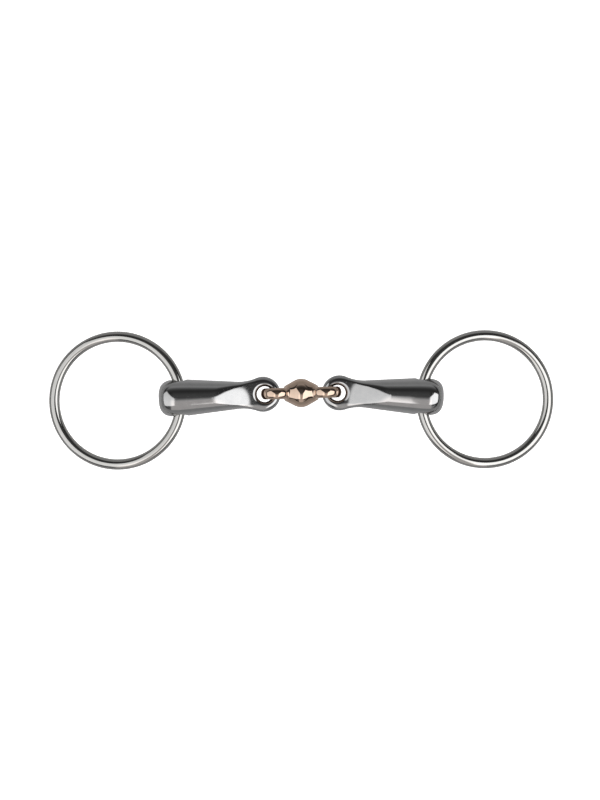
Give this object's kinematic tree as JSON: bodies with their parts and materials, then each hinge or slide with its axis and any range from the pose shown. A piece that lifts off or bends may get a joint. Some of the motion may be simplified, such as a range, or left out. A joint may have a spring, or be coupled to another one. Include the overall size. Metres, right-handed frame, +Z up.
{
  "type": "snaffle bit",
  "caption": "Double-jointed loose-ring snaffle bit: thick tapering steel bars, a copper-coloured lozenge link between them and a round ring at each end.",
  "frame": {"origin": "on the table under the middle of the bit as it lies", "axes": "+X along the mouthpiece from the left ring to the right ring, +Y across it in the table's plane, +Z up from the table"},
  "size_m": [0.2744, 0.076, 0.0205],
  "materials": {
    "ring_steel": "polished stainless steel wire",
    "bar_steel": "mirror-polished stainless steel",
    "link_copper": "polished copper alloy"
  },
  "bodies": {
    "centre_link": {"centre_link": "link_copper"},
    "left_cannon": {"left_cannon": "bar_steel"},
    "right_cannon": {"right_cannon": "bar_steel"},
    "left_ring": {"left_ring": "ring_steel"},
    "right_ring": {"right_ring": "ring_steel"}
  },
  "joints": [
    {"name": "left_fold", "type": "hinge", "parent": "centre_link", "child": "left_cannon", "pos_m": [-0.01339, 0.0034, 0.00853], "axis": [-0.0279, 0.9996, 0], "range_deg": [-40, 40]},
    {"name": "left_ring_swing", "type": "hinge", "parent": "left_cannon", "child": "left_ring", "pos_m": [-0.0661, 0.0011, 0.01014], "axis": [-0.0436, 0.999, 0], "range_deg": [-82, 98]},
    {"name": "right_fold", "type": "hinge", "parent": "centre_link", "child": "right_cannon", "pos_m": [0.01339, 0.00415, 0.00853], "axis": [0.0279, -0.9996, 0], "range_deg": [-40, 40]},
    {"name": "right_ring_swing", "type": "hinge", "parent": "right_cannon", "child": "right_ring", "pos_m": [0.0661, 0.00185, 0.01014], "axis": [-0.0436, -0.999, 0], "range_deg": [-82, 98]}
  ]
}
